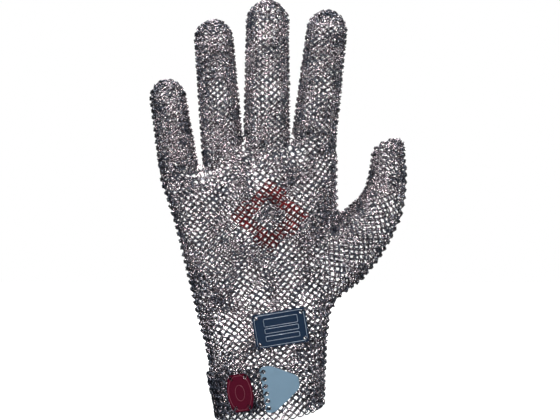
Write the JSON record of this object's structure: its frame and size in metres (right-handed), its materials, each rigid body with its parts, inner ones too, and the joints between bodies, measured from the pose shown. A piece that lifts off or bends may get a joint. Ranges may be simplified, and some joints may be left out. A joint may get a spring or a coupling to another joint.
{
  "type": "cut resistant glove",
  "caption": "Ring-mesh steel glove for carving work: bending finger and thumb stalls, an open cuff, and a strap over the wrist closed by a hooked clasp plate.",
  "frame": {"origin": "centre of the cuff's opening, where the wearer's wrist passes", "axes": "+Z from the cuff to the fingertips, +X to the thumb side, +Y out of the palm (the back of the hand faces -Y)"},
  "size_m": [0.1468, 0.0515, 0.2394],
  "materials": {
    "ring_mesh": "bright wire rings, slightly warm",
    "link_rings": "bright wire rings",
    "mark_rings": "dark red coated rings",
    "clasp_steel": "satin sheet",
    "marking_plate_steel": "polished dark sheet",
    "size_tag_red": "dark red gloss coat"
  },
  "bodies": {
    "hand": {"hand_back_mesh": "ring_mesh", "hand_palm_mesh": "ring_mesh", "cuff_mesh": "ring_mesh", "thumb_base_mesh": "ring_mesh", "thumb_knuckle_mesh": "ring_mesh", "strap_root_mesh": "ring_mesh", "marking_plate": "marking_plate_steel", "plate_ring_1": "link_rings", "plate_ring_2": "link_rings", "plate_ring_3": "link_rings", "plate_ring_4": "link_rings", "little_knuckle_mesh": "ring_mesh", "ring_knuckle_mesh": "ring_mesh", "middle_knuckle_mesh": "ring_mesh", "index_knuckle_mesh": "ring_mesh"},
    "little_base": {"little_base_mesh": "ring_mesh", "little_joint_mesh": "ring_mesh"},
    "little_tip": {"little_tip_mesh": "ring_mesh"},
    "ring_base": {"ring_base_mesh": "ring_mesh", "ring_joint_mesh": "ring_mesh"},
    "ring_tip": {"ring_tip_mesh": "ring_mesh"},
    "middle_base": {"middle_base_mesh": "ring_mesh", "middle_joint_mesh": "ring_mesh"},
    "middle_tip": {"middle_tip_mesh": "ring_mesh"},
    "index_base": {"index_base_mesh": "ring_mesh", "index_joint_mesh": "ring_mesh"},
    "index_tip": {"index_tip_mesh": "ring_mesh"},
    "thumb_tip": {"thumb_tip_mesh": "ring_mesh"},
    "strap": {"closure_strap_mesh": "ring_mesh", "size_tag": "size_tag_red", "tag_ring_1": "link_rings", "tag_ring_2": "link_rings", "tag_ring_3": "link_rings", "tag_ring_4": "link_rings", "clasp_ring_1": "link_rings", "clasp_ring_2": "link_rings", "clasp_ring_3": "link_rings", "clasp_ring_4": "link_rings", "clasp_ring_5": "link_rings", "clasp_ring_6": "link_rings"},
    "clasp": {"clasp_plate": "clasp_steel"}
  },
  "joints": [
    {"name": "little_knuckle_bend", "type": "hinge", "parent": "hand", "child": "little_base", "pos_m": [-0.053, 0, 0.148], "axis": [-0.9882, 0, -0.153], "range_deg": [0, 60], "deforming": ["little_knuckle_mesh"]},
    {"name": "little_middle_bend", "type": "hinge", "parent": "little_base", "child": "little_tip", "pos_m": [-0.0566, 0, 0.17122], "axis": [-0.9882, 0, -0.153], "range_deg": [0, 60], "deforming": ["little_joint_mesh"]},
    {"name": "ring_knuckle_bend", "type": "hinge", "parent": "hand", "child": "ring_base", "pos_m": [-0.0274, 0, 0.1575], "axis": [-0.9968, 0, -0.0802], "range_deg": [0, 60], "deforming": ["ring_knuckle_mesh"]},
    {"name": "ring_middle_bend", "type": "hinge", "parent": "ring_base", "child": "ring_tip", "pos_m": [-0.02993, 0, 0.1889], "axis": [-0.9968, 0, -0.0802], "range_deg": [0, 60], "deforming": ["ring_joint_mesh"]},
    {"name": "middle_knuckle_bend", "type": "hinge", "parent": "hand", "child": "middle_base", "pos_m": [-0.0019, 0, 0.1595], "axis": [-1, 0, 0.007], "range_deg": [0, 60], "deforming": ["middle_knuckle_mesh"]},
    {"name": "middle_middle_bend", "type": "hinge", "parent": "middle_base", "child": "middle_tip", "pos_m": [-0.00166, 0, 0.1945], "axis": [-1, 0, 0.007], "range_deg": [0, 60], "deforming": ["middle_joint_mesh"]},
    {"name": "index_knuckle_bend", "type": "hinge", "parent": "hand", "child": "index_base", "pos_m": [0.0252, 0, 0.1605], "axis": [-0.993, 0, 0.1184], "range_deg": [0, 60], "deforming": ["index_knuckle_mesh"]},
    {"name": "index_middle_bend", "type": "hinge", "parent": "index_base", "child": "index_tip", "pos_m": [0.02911, 0, 0.19327], "axis": [-0.993, 0, 0.1184], "range_deg": [0, 60], "deforming": ["index_joint_mesh"]},
    {"name": "thumb_bend", "type": "hinge", "parent": "hand", "child": "thumb_tip", "pos_m": [0.0636, 0.0066, 0.1205], "axis": [-0.7356, -0.5517, 0.393], "range_deg": [0, 45], "deforming": ["thumb_knuckle_mesh"]},
    {"name": "strap_fold", "type": "hinge", "parent": "hand", "child": "strap", "pos_m": [-0.03445, -0.00546, 0.01386], "axis": [0.1564, 0, -0.9877], "range_deg": [0, 110], "deforming": ["strap_root_mesh"]},
    {"name": "clasp_fold", "type": "hinge", "parent": "strap", "child": "clasp", "pos_m": [-0.00417, -0.02503, 0.01896], "axis": [0.1564, 0, -0.9877], "range_deg": [0, 130]}
  ],
  "couplings": [
    {"joint": "little_middle_bend", "follows": "little_knuckle_bend", "ratio": 1},
    {"joint": "ring_middle_bend", "follows": "ring_knuckle_bend", "ratio": 1},
    {"joint": "middle_middle_bend", "follows": "middle_knuckle_bend", "ratio": 1},
    {"joint": "index_middle_bend", "follows": "index_knuckle_bend", "ratio": 1}
  ]
}
